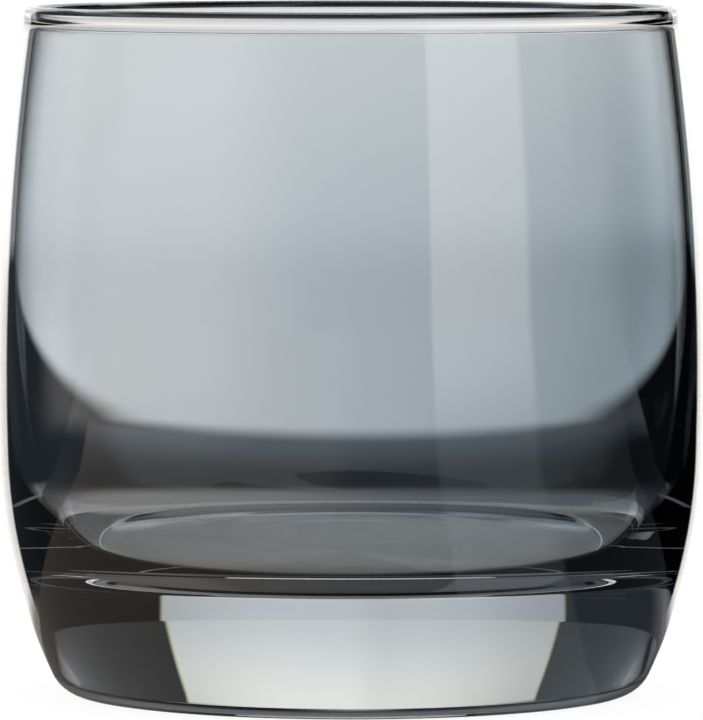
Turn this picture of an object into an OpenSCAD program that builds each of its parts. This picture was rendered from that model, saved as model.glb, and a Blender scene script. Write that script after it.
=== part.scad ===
// Barrel-shaped whiskey tumbler: a pressed and blown body of clear glass with a thick
// base, and a thin smoke-grey lustre coating on its outside, below a clear rim.
// The origin is the centre of the foot, on the surface that the glass stands on. +Z is up.

/* [Outside of the glass] */
// Height from the foot to the top of the rim
glass_h = 84; // [78:0.5:90]
// Largest outside diameter of the glass body
belly_d = 86; // [82:0.5:92]
// Height of the largest diameter
belly_z = 38.6; // [36:0.2:44]
// Radius of the long arc that the upper wall follows
upper_arc_r = 310; // [240:10:400]
// Radius of the rounder arc that the lower wall follows
lower_arc_r = 67.5; // [64:0.5:74]
// Height at which the two wall arcs meet
arc_join_z = 29.2; // [27:0.2:32]

/* [Foot] */
// Radius that rounds the heel between the wall and the foot
heel_r = 4.4; // [3:0.2:7]
// Width of the flat ring that the glass stands on
land_w = 1.2; // [0.6:0.1:2]
// Radius that rounds the inner edge of the foot ring
land_edge_r = 1; // [0.5:0.1:1.5]
// Depth of the shallow hollow inside the foot ring
punt_h = 0.4; // [0.2:0.1:1.5]

/* [Inside of the glass] */
// Thickness of the upper wall
wall_t = 1.5; // [1.2:0.1:1.7]
// Height of the cup's floor, which is the thickness of the solid base
floor_z = 15.3; // [12:0.1:17]
// Height below which the wall gets thicker
inner_join_z = 58; // [50:1:62]
// Radius of the slack arc that the inside follows below that height
inner_arc_r = 150; // [120:5:180]
// Height at which the inside starts to turn in faster
bend_z = 29; // [27:0.5:31]
// Radius of the arc that the inside follows from there to the corner
bend_r = 33; // [28:1:40]
// Radius of the corner between the wall and the floor of the cup
corner_r = 8; // [6:0.5:9]

/* [Rim] */
// Radius of the rounded bead round the mouth
bead_r = 1; // [1:0.05:1.3]
// How far the bead stands out from the line of the outer wall
bead_out = 0.12; // [0.05:0.01:0.2]
// Radius of the soft neck between the bead and the wall
neck_r = 4; // [3:0.5:6]

/* [Coating] */
// Thickness of the coating's shell
coat_t = 0.1; // [0.08:0.01:0.15]
// Width of the clear wall that is left between the neck of the rim and the coating
clear_band_h = 0.1; // [0.1:0.1:4]
// Where the coating ends on the heel, in degrees below the horizontal
coat_end_a = 72; // [50:1:75]

/* [Hidden] */
$fn = 128;

// Steps along a long arc and a short arc of the section
long_steps = 14;
short_steps = 10;

function on_arc(c, r, a) = c + r * [cos(a), sin(a)];
function bearing(from, to) = atan2(to.y - from.y, to.x - from.x);

// The points of an arc after its first one, which the line before it already has
function arc(c, r, a0, a1, n) = [for (i = [1:n]) on_arc(c, r, a0 + (a1 - a0) * i / n)];

// Where two circles cross, on the left of the line from c1 to c2
function crossing(c1, r1, c2, r2) =
    let (
        gap = norm(c2 - c1),
        along = (gap * gap + r1 * r1 - r2 * r2) / (2 * gap),
        aside = sqrt(r1 * r1 - along * along),
        dir = (c2 - c1) / gap
    )
    c1 + along * dir + aside * [-dir.y, dir.x];

// Outer wall: a long arc above and a rounder one below, which share a tangent
upper_c = [belly_d / 2 - upper_arc_r, belly_z];
join_a = asin((arc_join_z - belly_z) / upper_arc_r);
lower_c = on_arc(upper_c, upper_arc_r - lower_arc_r, join_a);

// Heel: an arc that touches the foot plane and the lower wall from inside
heel_reach = lower_arc_r - heel_r;
heel_c = [lower_c.x + sqrt(pow(heel_reach, 2) - pow(lower_c.y - heel_r, 2)), heel_r];
heel_a = bearing(lower_c, heel_c);

// Foot ring, and the hollow that its inner edge runs into without a crease
edge_c = [heel_c.x - land_w, land_edge_r];
punt_r = (pow(edge_c.x, 2) + pow(land_edge_r - punt_h, 2) - pow(land_edge_r, 2)) / (2 * punt_h);
punt_c = [0, punt_h - punt_r];
punt_a = bearing(punt_c, edge_c);

// Inner wall: parallel to the outer one above, then two arcs that close in to the corner
inner_upper_r = upper_arc_r - wall_t;
inner_join_a = asin((inner_join_z - belly_z) / inner_upper_r);
inner_c = on_arc(upper_c, inner_upper_r - inner_arc_r, inner_join_a);
bend_a = asin((bend_z - inner_c.y) / inner_arc_r);
bend_c = on_arc(inner_c, inner_arc_r - bend_r, bend_a);
corner_z = floor_z + corner_r;
corner_reach = bend_r - corner_r;
corner_c = [bend_c.x + sqrt(pow(corner_reach, 2) - pow(bend_c.y - corner_z, 2)), corner_z];
corner_a = bearing(bend_c, corner_c);

// Rim bead, with a soft neck on each side that touches the bead and the wall
bead_z = glass_h - bead_r;
bead_a = asin((bead_z - belly_z) / upper_arc_r);
bead_c = [on_arc(upper_c, upper_arc_r, bead_a).x + bead_out - bead_r, bead_z];
outer_neck_c = crossing(bead_c, bead_r + neck_r, upper_c, upper_arc_r + neck_r);
inner_neck_c = crossing(bead_c, bead_r + neck_r, upper_c, inner_upper_r - neck_r);
outer_neck_a = bearing(upper_c, outer_neck_c);
inner_neck_a = bearing(upper_c, inner_neck_c);
bead_start_a = bearing(bead_c, outer_neck_c);
bead_end_a = bearing(bead_c, inner_neck_c) + 360;

// The stretch of the section that the coating covers, moved outwards by t
neck_z = on_arc(upper_c, upper_arc_r, outer_neck_a).y;
coat_top_a = asin((neck_z - clear_band_h - belly_z) / upper_arc_r);
function coated_line(t) = concat(
    [on_arc(heel_c, heel_r + t, -coat_end_a)],
    arc(heel_c, heel_r + t, -coat_end_a, heel_a, short_steps),
    arc(lower_c, lower_arc_r + t, heel_a, join_a, long_steps),
    arc(upper_c, upper_arc_r + t, join_a, coat_top_a, long_steps)
);

function reversed(line) = [for (i = [len(line) - 1:-1:0]) line[i]];

module glass_body() {
    color([0.90, 0.94, 0.93, 0.45])
    rotate_extrude()
    polygon(concat(
        [[0, punt_h]],
        arc(punt_c, punt_r, 90, punt_a, short_steps),
        arc(edge_c, land_edge_r, punt_a - 180, -90, short_steps),
        [[heel_c.x, 0]],
        coated_line(0),
        [on_arc(upper_c, upper_arc_r, outer_neck_a)],
        arc(outer_neck_c, neck_r, outer_neck_a + 180, bead_start_a + 180, short_steps),
        arc(bead_c, bead_r, bead_start_a, bead_end_a, long_steps),
        arc(inner_neck_c, neck_r, bead_end_a - 180, inner_neck_a, short_steps),
        arc(upper_c, inner_upper_r, inner_neck_a, inner_join_a, long_steps),
        arc(inner_c, inner_arc_r, inner_join_a, bend_a, long_steps),
        arc(bend_c, bend_r, bend_a, corner_a, short_steps),
        arc(corner_c, corner_r, corner_a, -90, short_steps),
        [[0, floor_z]]
    ));
}

module smoke_coating() {
    color([0.42, 0.44, 0.46, 0.6])
    rotate_extrude()
    polygon(concat(
        coated_line(coat_t),
        reversed(coated_line(0))
    ));
}

glass_body();
smoke_coating();
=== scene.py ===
import math

import bpy
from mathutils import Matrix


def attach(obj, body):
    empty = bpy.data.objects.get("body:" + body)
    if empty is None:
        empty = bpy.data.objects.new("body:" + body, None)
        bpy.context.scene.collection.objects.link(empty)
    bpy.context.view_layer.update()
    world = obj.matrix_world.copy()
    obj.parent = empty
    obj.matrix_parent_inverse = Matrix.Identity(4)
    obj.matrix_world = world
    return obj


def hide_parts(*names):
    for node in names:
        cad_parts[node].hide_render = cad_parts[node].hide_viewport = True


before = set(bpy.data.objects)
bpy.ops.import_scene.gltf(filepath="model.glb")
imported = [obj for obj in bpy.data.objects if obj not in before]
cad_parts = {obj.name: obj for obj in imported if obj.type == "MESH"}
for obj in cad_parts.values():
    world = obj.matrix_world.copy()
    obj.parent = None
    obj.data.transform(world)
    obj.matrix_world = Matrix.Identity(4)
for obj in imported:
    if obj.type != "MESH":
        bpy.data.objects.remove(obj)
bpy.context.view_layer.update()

# The glass and its coating are turned from the same section as the CAD part, in finer steps. The
# studio that they mirror and bend is in the world's shader and in the material of the floor.

MM = 0.001
SEGMENTS = 192          # round the axis
ON_AXIS = 1e-6          # a radius below this lies on the axis

# ---------------------------------------------------------------- section of the glass, in millimetres

GLASS_H = 84.0          # foot to rim
BELLY_R = 43.0          # largest outside radius
BELLY_Z = 38.6          # height of the largest radius
UPPER_ARC_R = 310.0     # long arc of the upper wall
LOWER_ARC_R = 67.5      # rounder arc of the lower wall
ARC_JOIN_Z = 29.2       # height at which the two wall arcs meet
HEEL_R = 4.4            # rounds the wall into the foot
LAND_W = 1.2            # flat ring that the glass stands on
LAND_EDGE_R = 1.0       # inner edge of the foot ring
PUNT_H = 0.4            # hollow inside the foot ring
WALL_T = 1.5            # upper wall
FLOOR_Z = 15.3          # thickness of the base
INNER_JOIN_Z = 58.0     # height below which the wall gets thicker
INNER_ARC_R = 150.0     # slack inside arc below that height
BEND_Z = 29.0           # height at which the inside turns in faster
BEND_R = 33.0           # arc of that turn
CORNER_R = 8.0          # corner between the inside wall and the floor
BEAD_R = 1.0            # rounded rim
BEAD_OUT = 0.12         # how far the rim stands out from the wall
NECK_R = 4.0            # runs the bead into the wall
COAT_T = 0.1            # shell of the coating
COAT_GAP = 0.01         # between the glass and the inside of that shell
CLEAR_BAND_H = 0.1      # clear wall between the neck and the coating
COAT_END_A = math.radians(72)   # where the coating ends on the heel, below the horizontal
STEP = 0.7              # longest step along an arc
RIPPLE_H = 0.02         # height of the pressing marks on the floor of the cup
RIPPLE_L = 5.0          # distance from one mark to the next


def on_arc(c, r, a):
    return (c[0] + r * math.cos(a), c[1] + r * math.sin(a))


def bearing(a, b):
    return math.atan2(b[1] - a[1], b[0] - a[0])


def arc(c, r, a0, a1):
    """The points of an arc after its first one."""
    n = max(6, math.ceil(abs(a1 - a0) * r / STEP))
    return [on_arc(c, r, a0 + (a1 - a0) * i / n) for i in range(1, n + 1)]


def crossing(c1, r1, c2, r2):
    """Where two circles cross, on the left of the line from c1 to c2."""
    gap = math.dist(c1, c2)
    along = (gap * gap + r1 * r1 - r2 * r2) / (2 * gap)
    aside = math.sqrt(r1 * r1 - along * along)
    dx, dy = (c2[0] - c1[0]) / gap, (c2[1] - c1[1]) / gap
    return (c1[0] + along * dx - aside * dy, c1[1] + along * dy + aside * dx)


upper_c = (BELLY_R - UPPER_ARC_R, BELLY_Z)
join_a = math.asin((ARC_JOIN_Z - BELLY_Z) / UPPER_ARC_R)
lower_c = on_arc(upper_c, UPPER_ARC_R - LOWER_ARC_R, join_a)
heel_c = (lower_c[0] + math.sqrt((LOWER_ARC_R - HEEL_R) ** 2 - (lower_c[1] - HEEL_R) ** 2), HEEL_R)
heel_a = bearing(lower_c, heel_c)

edge_c = (heel_c[0] - LAND_W, LAND_EDGE_R)
punt_r = (edge_c[0] ** 2 + (LAND_EDGE_R - PUNT_H) ** 2 - LAND_EDGE_R ** 2) / (2 * PUNT_H)
punt_c = (0, PUNT_H - punt_r)
punt_a = bearing(punt_c, edge_c)

inner_upper_r = UPPER_ARC_R - WALL_T
inner_join_a = math.asin((INNER_JOIN_Z - BELLY_Z) / inner_upper_r)
inner_c = on_arc(upper_c, inner_upper_r - INNER_ARC_R, inner_join_a)
bend_a = math.asin((BEND_Z - inner_c[1]) / INNER_ARC_R)
bend_c = on_arc(inner_c, INNER_ARC_R - BEND_R, bend_a)
corner_z = FLOOR_Z + CORNER_R
corner_c = (bend_c[0] + math.sqrt((BEND_R - CORNER_R) ** 2 - (bend_c[1] - corner_z) ** 2), corner_z)
corner_a = bearing(bend_c, corner_c)

bead_z = GLASS_H - BEAD_R
bead_a = math.asin((bead_z - BELLY_Z) / UPPER_ARC_R)
bead_c = (on_arc(upper_c, UPPER_ARC_R, bead_a)[0] + BEAD_OUT - BEAD_R, bead_z)
outer_neck_c = crossing(bead_c, BEAD_R + NECK_R, upper_c, UPPER_ARC_R + NECK_R)
inner_neck_c = crossing(bead_c, BEAD_R + NECK_R, upper_c, inner_upper_r - NECK_R)
outer_neck_a = bearing(upper_c, outer_neck_c)
inner_neck_a = bearing(upper_c, inner_neck_c)
bead_start_a = bearing(bead_c, outer_neck_c)
bead_end_a = bearing(bead_c, inner_neck_c) + math.tau
neck_z = on_arc(upper_c, UPPER_ARC_R, outer_neck_a)[1]
coat_top_a = math.asin((neck_z - CLEAR_BAND_H - BELLY_Z) / UPPER_ARC_R)


def coated_line(t):
    """The stretch of the outside that the coating covers, moved outwards by t."""
    return [
        on_arc(heel_c, HEEL_R + t, -COAT_END_A),
        *arc(heel_c, HEEL_R + t, -COAT_END_A, heel_a),
        *arc(lower_c, LOWER_ARC_R + t, heel_a, join_a),
        *arc(upper_c, UPPER_ARC_R + t, join_a, coat_top_a),
    ]


def floor_line():
    """The cup's floor from its edge to the axis, with faint round pressing marks."""
    n = math.ceil(corner_c[0] / STEP)
    line = []
    for i in range(1, n + 1):
        r = corner_c[0] * (1 - i / n)
        fade = math.sin(math.pi * r / corner_c[0])
        line.append((r, FLOOR_Z + RIPPLE_H * fade * (1 + math.cos(math.tau * r / RIPPLE_L)) / 2))
    return line


def glass_line():
    """The whole section of the glass, from the middle of the underside to the middle of the floor."""
    return [
        (0, PUNT_H),
        *arc(punt_c, punt_r, math.pi / 2, punt_a),
        *arc(edge_c, LAND_EDGE_R, punt_a - math.pi, -math.pi / 2),
        (heel_c[0], 0),
        *arc(heel_c, HEEL_R, -math.pi / 2, heel_a),
        *arc(lower_c, LOWER_ARC_R, heel_a, join_a),
        *arc(upper_c, UPPER_ARC_R, join_a, outer_neck_a),
        *arc(outer_neck_c, NECK_R, outer_neck_a + math.pi, bead_start_a + math.pi),
        *arc(bead_c, BEAD_R, bead_start_a, bead_end_a),
        *arc(inner_neck_c, NECK_R, bead_end_a - math.pi, inner_neck_a),
        *arc(upper_c, inner_upper_r, inner_neck_a, inner_join_a),
        *arc(inner_c, INNER_ARC_R, inner_join_a, bend_a),
        *arc(bend_c, BEND_R, bend_a, corner_a),
        *arc(corner_c, CORNER_R, corner_a, -math.pi / 2),
        *floor_line(),
    ]


# ---------------------------------------------------------------- meshes

def ring(verts, r, z):
    """Adds the ring that one point of a section sweeps, or a single vertex on the axis."""
    start = len(verts)
    if r < ON_AXIS:
        verts.append((0, 0, z * MM))
    else:
        for k in range(SEGMENTS):
            a = math.tau * k / SEGMENTS
            verts.append((r * math.cos(a) * MM, r * math.sin(a) * MM, z * MM))
    return range(start, len(verts))


def faces_between(low, high):
    """The faces that join two rings, one of which may be a single vertex."""
    faces = []
    for k in range(SEGMENTS):
        n = (k + 1) % SEGMENTS
        if len(low) == 1:
            faces.append((low[0], high[n], high[k]))
        elif len(high) == 1:
            faces.append((low[k], low[n], high[0]))
        else:
            faces.append((low[k], low[n], high[n], high[k]))
    return faces


def lathe(name, line, closed, slots):
    """Turns a section round the Z axis. slots gives each stretch of the section its material slot."""
    verts, faces, mats = [], [], []
    rings = [ring(verts, r, z) for r, z in line]
    following = rings[1:] + (rings[:1] if closed else [])
    for i, (low, high) in enumerate(zip(rings, following)):
        stretch = faces_between(low, high)
        faces += stretch
        mats += [slots(i)] * len(stretch)
    mesh = bpy.data.meshes.new(name)
    mesh.from_pydata(verts, [], faces)
    mesh.validate()
    mesh.polygons.foreach_set("material_index", mats)
    mesh.polygons.foreach_set("use_smooth", [True] * len(faces))
    mesh.update()
    obj = bpy.data.objects.new(name, mesh)
    bpy.context.scene.collection.objects.link(obj)
    return obj


# ---------------------------------------------------------------- materials

WHITE = (1, 1, 1, 1)


class Nodes:
    """A short way to build a node tree."""

    def __init__(self, tree):
        self.tree = tree
        tree.nodes.clear()

    def add(self, kind, inputs=None, **settings):
        node = self.tree.nodes.new(kind)
        for key, value in settings.items():
            setattr(node, key, value)
        for key, value in (inputs or {}).items():
            if isinstance(value, bpy.types.NodeSocket):
                self.tree.links.new(value, node.inputs[key])
            else:
                node.inputs[key].default_value = value
        return node

    def math(self, operation, a, b=0.0, c=0.0):
        return self.add("ShaderNodeMath", {0: a, 1: b, 2: c}, operation=operation).outputs[0]

    def degrees(self, operation, a, b=0.0):
        """An angle that the operation gives, turned into degrees."""
        return self.math("MULTIPLY", self.math(operation, a, b), 180 / math.pi)

    def ramp(self, value, low, high, to_low=0.0, to_high=1.0):
        """A smooth step from to_low to to_high as value goes from low to high."""
        node = self.add(
            "ShaderNodeMapRange",
            {"Value": value, "From Min": low, "From Max": high, "To Min": to_low, "To Max": to_high},
            interpolation_type="SMOOTHSTEP",
        )
        return node.outputs["Result"]

    def times(self, first, *others):
        for other in others:
            first = self.math("MULTIPLY", first, other)
        return first

    def greatest(self, first, *others):
        for other in others:
            first = self.math("MAXIMUM", first, other)
        return first

    def mix(self, factor, a, b):
        """One colour at factor 0 and the other at 1."""
        node = self.add("ShaderNodeMix", {0: factor, 6: a, 7: b}, data_type="RGBA")
        return node.outputs[2]

    def blend(self, factor, a, b):
        """One shader at factor 0 and the other at 1."""
        return self.add("ShaderNodeMixShader", {0: factor, 1: a, 2: b}).outputs[0]

    def light(self, colour, level):
        """Light from far away, for the world."""
        return self.add("ShaderNodeBackground", {"Color": colour, "Strength": level}).outputs[0]


def new_material(name):
    material = bpy.data.materials.new(name)
    material.use_nodes = True
    return material, Nodes(material.node_tree)


def clear_glass():
    material, n = new_material("clear_glass")
    place = n.add("ShaderNodeTexCoord").outputs["Object"]
    waves = n.add("ShaderNodeTexNoise", {"Vector": place, "Scale": 60.0, "Detail": 1.0})
    bump = n.add("ShaderNodeBump", {"Strength": 0.02, "Distance": 0.0005, "Height": waves.outputs["Fac"]})
    glass = n.add("ShaderNodeBsdfPrincipled", {
        "Base Color": (0.995, 1.0, 0.997, 1),
        "Roughness": 0.0,
        "IOR": 1.52,
        "Transmission Weight": 1.0,
        "Normal": bump.outputs["Normal"],
    })
    n.add("ShaderNodeOutputMaterial", {"Surface": glass.outputs[0]})
    return material


COAT_REFLECT = 0.15     # share of the light that the film mirrors when seen straight on
COAT_INSIDE = 0.15      # how much of that mirroring is left on the side of the glass
COAT_TINT = (0.895, 0.93, 0.96, 1)      # what it lets through
COAT_TINT_TOP = (0.93, 0.955, 0.97, 1)  # and near the rim, where it is thinner
COAT_THIN_FROM, COAT_THIN_TO = 0.050, 0.085     # heights between which it gets thinner
COAT_SHEEN = (1.0, 0.92, 0.84, 1)       # what it mirrors


def smoke_lustre():
    """A thin film: it lets a cool smoke-grey through and mirrors a little of what is in front, warmer."""
    material, n = new_material("smoke_lustre")
    facing = n.add("ShaderNodeLayerWeight", {"Blend": 0.5}).outputs["Facing"]
    rim = n.math("POWER", facing, 5.0)
    reflect = n.math("MULTIPLY_ADD", rim, 1 - COAT_REFLECT, COAT_REFLECT)
    inside = n.add("ShaderNodeNewGeometry").outputs["Backfacing"]
    reflect = n.times(reflect, n.math("MULTIPLY_ADD", inside, COAT_INSIDE - 1, 1.0))
    place = n.add("ShaderNodeSeparateXYZ", {0: n.add("ShaderNodeTexCoord").outputs["Object"]})
    thinner = n.ramp(place.outputs["Z"], COAT_THIN_FROM, COAT_THIN_TO)
    through = n.add("ShaderNodeBsdfTransparent", {"Color": n.mix(thinner, COAT_TINT, COAT_TINT_TOP)})
    mirror = n.add("ShaderNodeBsdfGlossy", {"Color": COAT_SHEEN, "Roughness": 0.02})
    film = n.blend(reflect, through.outputs[0], mirror.outputs[0])
    n.add("ShaderNodeOutputMaterial", {"Surface": film})
    return material


def film_back():
    """The side of the film that lies on the glass, which shows nothing of its own."""
    material, n = new_material("film_back")
    clear = n.add("ShaderNodeBsdfTransparent", {"Color": WHITE})
    n.add("ShaderNodeOutputMaterial", {"Surface": clear.outputs[0]})
    return material


# ---------------------------------------------------------------- pieces

def make_glass():
    glass = lathe("tumbler_glass", glass_line(), False, lambda i: 0)
    glass.data.materials.append(clear_glass())
    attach(glass, "root")
    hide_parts("glass_body")


def make_coating():
    outside = coated_line(COAT_T)
    inside = coated_line(COAT_GAP)[::-1]
    last = len(outside) - 1
    coat = lathe("tumbler_coating", outside + inside, True, lambda i: 0 if i < last else 1)
    coat.data.materials.append(smoke_lustre())
    coat.data.materials.append(film_back())
    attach(coat, "root")
    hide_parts("smoke_coating")


# ---------------------------------------------------------------- stage

TABLE_LEFT, TABLE_RIGHT = 0.030, 0.034      # how far behind the axis the table ends
TABLE_LEFT_SLANT, TABLE_RIGHT_SLANT = 0.055, 0.03       # how its back edge slants on each side
TABLE_WARM = (1.10, 1.0, 0.92, 1)       # its light on the left
TABLE_COOL = (0.90, 1.0, 1.12, 1)       # and on the right
SEEN_FROM = 0.035       # height from which the glass looks at the far table
FAR_FLOOR = 0.62        # light of the floor far from the glass, as seen through it
FLOOR_SIZE = 6.0        # half the side of the square floor
FLOOR_GREY = (0.9, 0.9, 0.9, 1)
FLOOR_GLOW = 1.08       # its own light
FLOOR_LIT = 0.85        # share of that light; the rest takes the shadow of the glass


def plane(name, corners, material):
    mesh = bpy.data.meshes.new(name)
    mesh.from_pydata(corners, [], [(0, 1, 2, 3)])
    mesh.materials.append(material)
    obj = bpy.data.objects.new(name, mesh)
    bpy.context.scene.collection.objects.link(obj)
    return obj


def seen_plainly(n):
    """1 for what the camera sees directly and for the light that falls on the floor."""
    path = n.add("ShaderNodeLightPath")
    return n.math("MAXIMUM", path.outputs["Is Camera Ray"], path.outputs["Is Diffuse Ray"])


def not_mirrored(n):
    """0 for what a surface mirrors, 1 for everything else."""
    return n.math("SUBTRACT", 1.0, n.add("ShaderNodeLightPath").outputs["Is Reflection Ray"])


def table_end(n, x):
    """How far behind the axis the table ends."""
    left = n.times(n.math("MINIMUM", x, 0.0), TABLE_LEFT_SLANT)
    right = n.times(n.math("MAXIMUM", x, 0.0), TABLE_RIGHT_SLANT)
    slant = n.math("ADD", left, right)
    return n.math("ADD", slant, n.ramp(x, -0.04, 0.04, TABLE_LEFT, TABLE_RIGHT))


def table_light(n, x, y, near, behind):
    """What the glass mirrors and bends: a dark table top with a soft painted sheen and painted light, and a
    pale floor far off.
    """
    turn = n.degrees("ARCTAN2", x, n.times(y, -1.0))
    rise = n.times(n.degrees("ARCTAN2", SEEN_FROM, near), -1.0)
    # painted sheen: the front lamps' light painted into the table's own glow
    sheen = front_light(n, turn, rise)
    # painted light over the whole table, brighter on the left than on the right
    painted_light_more_left = n.ramp(x, -0.06, 0.02, 0.10, 0.03)
    # painted pool of light on the floor right under the glass
    painted_light_under_glass = n.ramp(near, 0.034, 0.040, 0.060, 0.0)
    # painted lit strip of floor right behind the glass, brighter on the left
    lit_behind = n.times(behind, n.ramp(x, -0.03, 0.03, 0.25, 0.10))
    far = n.times(n.ramp(near, 0.12, 0.16, 0.0, FAR_FLOOR), not_mirrored(n))
    level = n.greatest(sheen, painted_light_more_left, painted_light_under_glass, lit_behind, far)
    colour = n.mix(n.ramp(x, -0.05, 0.05), TABLE_WARM, TABLE_COOL)
    colour = n.mix(far, colour, WHITE)
    return n.add("ShaderNodeEmission", {"Color": colour, "Strength": level}).outputs[0]


def floor_material():
    """Pale to the eye. What the glass itself mirrors and bends is a darker table top of its own size, with
    painted light in its own glow.
    """
    material, n = new_material("floor")
    place = n.add("ShaderNodeSeparateXYZ", {0: n.add("ShaderNodeNewGeometry").outputs["Position"]})
    x, y = place.outputs["X"], place.outputs["Y"]
    near = n.math("SQRT", n.math("ADD", n.times(x, x), n.times(y, y)))
    behind = n.times(n.ramp(near, 0.060, 0.090, 1, 0), n.ramp(y, 0.02, 0.03))
    beyond = n.math("SUBTRACT", y, table_end(n, x))
    on_table = n.greatest(n.ramp(beyond, -0.001, 0.001, 1.0, 0.0), behind)
    gone = n.add("ShaderNodeBsdfTransparent", {"Color": WHITE}).outputs[0]
    table = n.blend(on_table, gone, table_light(n, x, y, near, behind))
    shaded = n.add("ShaderNodeBsdfDiffuse", {"Color": FLOOR_GREY}).outputs[0]
    lit = n.add("ShaderNodeEmission", {"Color": WHITE, "Strength": FLOOR_GLOW}).outputs[0]
    pale = n.blend(FLOOR_LIT, shaded, lit)
    n.add("ShaderNodeOutputMaterial", {"Surface": n.blend(seen_plainly(n), table, pale)})
    return material


# Directions below are in degrees as seen from the glass. Behind it, 0 is straight away from the
# camera and + is to the right. In front of it, 0 is towards the camera and + is to the right.

BACK_LEFT = -29.0       # sides of the bright background
BACK_RIGHT = 24.5
BACK_LOW = -10.8        # its lower edge in the middle
BACK_MIDDLE = 0.4       # where that edge is lowest
BACK_HALF = 28          # how far from there it stops climbing
BACK_CORNER = 7.6       # how much higher it is by then
BACK_SOFT = 0.5         # softness of its sides
BACK_SHADE = 0.54       # how much of its light the shade takes
FRINGE = 0.09           # blue stops this much sooner than red and green
MIRROR_LEFT, MIRROR_RIGHT, MIRROR_LOW = -27, 23, -18    # its edges as the glass mirrors them
MIRROR_GLOW = 1.15      # and its light
WARM = (1.06, 1.0, 0.90, 1)     # the background high up
COOL = (0.88, 1.0, 1.08, 1)     # and in the shade
HAZE = (0.72, 0.92, 1.10, 1)


def span(n, turn, left, right):
    """1 between two directions, 0 outside."""
    starts = n.ramp(turn, left - BACK_SOFT, left + BACK_SOFT)
    ends = n.ramp(turn, right - BACK_SOFT, right + BACK_SOFT, 1, 0)
    return n.times(starts, ends)


def background_edge(n, turn, rise, inset):
    """1 inside the bright background, 0 outside."""
    off_middle = n.math("ABSOLUTE", n.math("SUBTRACT", turn, BACK_MIDDLE))
    low_edge = n.ramp(off_middle, 0, BACK_HALF, BACK_LOW, BACK_LOW + BACK_CORNER)
    over = n.ramp(n.math("SUBTRACT", rise, low_edge), -0.9, 0.6)
    return n.times(over, span(n, turn, BACK_LEFT + inset, BACK_RIGHT - inset))


def background_light(n, turn, rise):
    """The bright background behind the glass: warmer high up, shaded and cool low on the right."""
    aside = n.math("ABSOLUTE", turn)
    upper = n.times(n.ramp(rise, 8, 20, 0.76, 1.13), n.ramp(rise, 25, 29, 1.0, 0.12))
    lower = n.times(n.ramp(rise, -1, 4, 0.89, 0.0), n.ramp(rise, -5, -1, 0.88, 1.07))
    left = n.times(n.ramp(turn, -30, -6, 0.62, 1.0), n.ramp(turn, -4, 1, 0.90, 1.0))
    right = n.ramp(turn, 6, 30, 1.0, 0.74)
    beside = n.times(n.ramp(aside, 4, 10, 0.0, 0.95), n.ramp(aside, 16, 21, 1, 0), n.ramp(rise, 1, 4, 1, 0))
    shade = n.times(n.ramp(turn, -5, 7), n.ramp(rise, -4.5, 2.5, 1, 0))
    shaded = n.math("MULTIPLY_ADD", shade, -BACK_SHADE, 1.0)
    level = n.times(n.greatest(upper, lower), left, right, n.math("ADD", beside, 1.0), shaded)
    colour = n.mix(shade, n.mix(n.ramp(rise, 6, 22), WHITE, WARM), COOL)
    whole = background_edge(n, turn, rise, 0.0)
    edges = n.add("ShaderNodeCombineXYZ", {0: whole, 1: whole, 2: background_edge(n, turn, rise, FRINGE)})
    colour = n.add("ShaderNodeVectorMath", {0: colour, 1: edges.outputs[0]}, operation="MULTIPLY")
    return n.light(colour.outputs[0], level)


def mirrored_background(n, turn, rise):
    """The same background as the outside of the glass mirrors it at a glancing angle."""
    above = n.ramp(rise, MIRROR_LOW, MIRROR_LOW + 3, 0.0, MIRROR_GLOW)
    return n.light(WHITE, n.times(span(n, turn, MIRROR_LEFT, MIRROR_RIGHT), above))


def haze_light(n, turn, rise):
    """A faint blue haze below the bright background, and the little light that comes from everywhere else."""
    below = n.ramp(rise, -11.5, -10.5, 1.0, 0.0)
    close = n.ramp(rise, -15, -11, 0.0, 0.10)
    deep = n.ramp(rise, -40, -14, 0.0, 0.02)
    haze = n.times(n.math("ADD", close, deep), below, n.ramp(turn, -9, -3), n.ramp(turn, -1, 10, 1.0, 0.0))
    rest = n.math("ADD", n.ramp(turn, -5, 10, 0.009, 0.002), n.ramp(turn, -10, -5, 0.018, 0.0))
    return n.light(HAZE, n.math("ADD", haze, rest))


def floor_light(n, turn, rise):
    """The pale floor steeply below, and the pale room beside and before the glass, as seen through it."""
    aside = n.math("ABSOLUTE", turn)
    steep = n.times(n.ramp(aside, 22, 32), n.ramp(rise, -25, -22, FAR_FLOOR, 0.0))
    around = n.times(n.ramp(aside, 70, 85), n.ramp(rise, -10, -8, 0.0, FAR_FLOOR))
    return n.light(WHITE, n.times(n.greatest(steep, around), not_mirrored(n)))


def front_light(n, turn, rise):
    """A wide soft light on the left and a narrow one on the right, both on the camera's side."""
    wide = n.times(n.ramp(turn, -50, -8, 0.42, 0.0), n.ramp(turn, -125, -105, 0.0, 1.0))
    wide = n.times(wide, n.ramp(rise, -8, -1.5, 0.24, 1.0), n.ramp(rise, 10, 20, 1.0, 0.35))
    narrow = n.times(n.ramp(turn, 25, 27, 0.0, 0.57), n.ramp(turn, 58, 62, 1.0, 0.0))
    narrow = n.times(narrow, n.ramp(rise, -6, -1, 0.2, 1.0))
    return n.math("ADD", wide, narrow)


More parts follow.
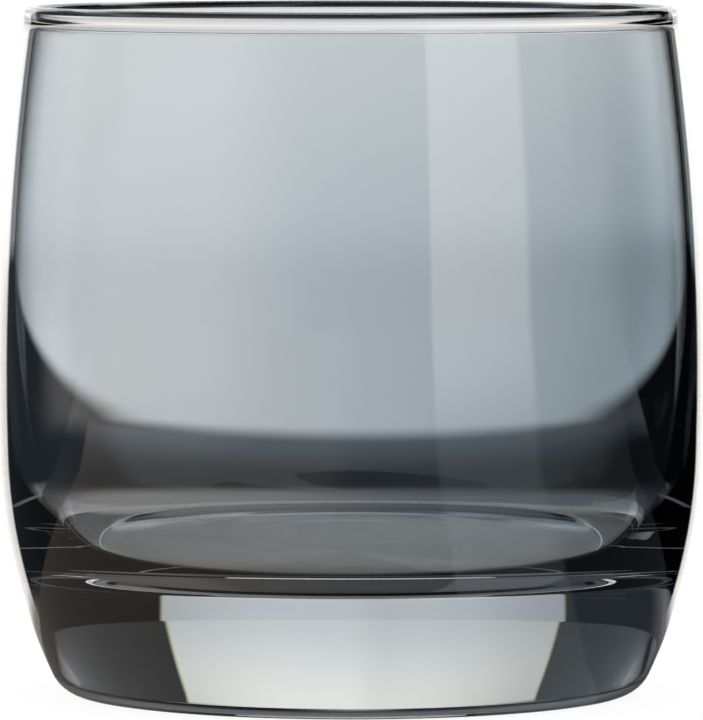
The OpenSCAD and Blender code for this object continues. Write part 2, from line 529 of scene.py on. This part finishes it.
def make_world():
    """The studio, and a plain white ground for what the camera sees directly."""
    world = bpy.data.worlds.new("studio")
    bpy.context.scene.world = world
    world.use_nodes = True
    n = Nodes(world.node_tree)
    way = n.add("ShaderNodeSeparateXYZ", {0: n.add("ShaderNodeTexCoord").outputs["Generated"]})
    x, y = way.outputs["X"], way.outputs["Y"]
    behind = n.degrees("ARCTAN2", x, y)
    front = n.degrees("ARCTAN2", x, n.times(y, -1.0))
    rise = n.degrees("ARCSINE", way.outputs["Z"])
    covered = n.times(not_mirrored(n), n.ramp(n.math("ABSOLUTE", behind), 70, 85))
    lamps = n.times(front_light(n, front, rise), n.ramp(rise, -5.4, -4.4), n.math("SUBTRACT", 1.0, covered))
    mirrored = n.add("ShaderNodeLightPath").outputs["Is Reflection Ray"]
    studio = n.blend(mirrored, background_light(n, behind, rise), mirrored_background(n, behind, rise))
    for extra in (n.light(WHITE, lamps), haze_light(n, behind, rise), floor_light(n, behind, rise)):
        studio = n.add("ShaderNodeAddShader", {0: studio, 1: extra}).outputs[0]
    both = n.blend(seen_plainly(n), studio, n.light(WHITE, 1.0))
    n.add("ShaderNodeOutputWorld", {"Surface": both})


def make_floor():
    s = FLOOR_SIZE
    plane("floor", [(-s, -s, 0), (s, -s, 0), (s, s, 0), (-s, s, 0)], floor_material())


# ---------------------------------------------------------------- camera

CAM_DIST = 1.0          # from the axis
CAM_H = 0.1027          # above the foot
CAM_PITCH = math.radians(3.547)     # below the horizontal
CAM_LENS = 409.5
CAM_SENSOR = 36.0
CAM_SHIFT = 0.001


def make_camera():
    data = bpy.data.cameras.new("camera")
    cam = bpy.data.objects.new("camera", data)
    bpy.context.scene.collection.objects.link(cam)
    bpy.context.scene.camera = cam
    data.sensor_fit = "AUTO"
    data.sensor_width = CAM_SENSOR
    data.lens = CAM_LENS
    data.shift_x = CAM_SHIFT
    data.clip_start, data.clip_end = 0.01, 50
    cam.location = (0, -CAM_DIST, CAM_H)
    cam.rotation_euler = (math.pi / 2 - CAM_PITCH, 0, 0)


def set_light_paths():
    """Few bounces stand in for the light that the real film takes at every reflection inside."""
    scene = bpy.context.scene
    scene.cycles.max_bounces = 4
    scene.cycles.transmission_bounces = 4
    scene.cycles.glossy_bounces = 4
    scene.cycles.transparent_max_bounces = 32
    scene.view_settings.view_transform = "Standard"


make_glass()
make_coating()
make_floor()
make_world()
make_camera()
set_light_paths()
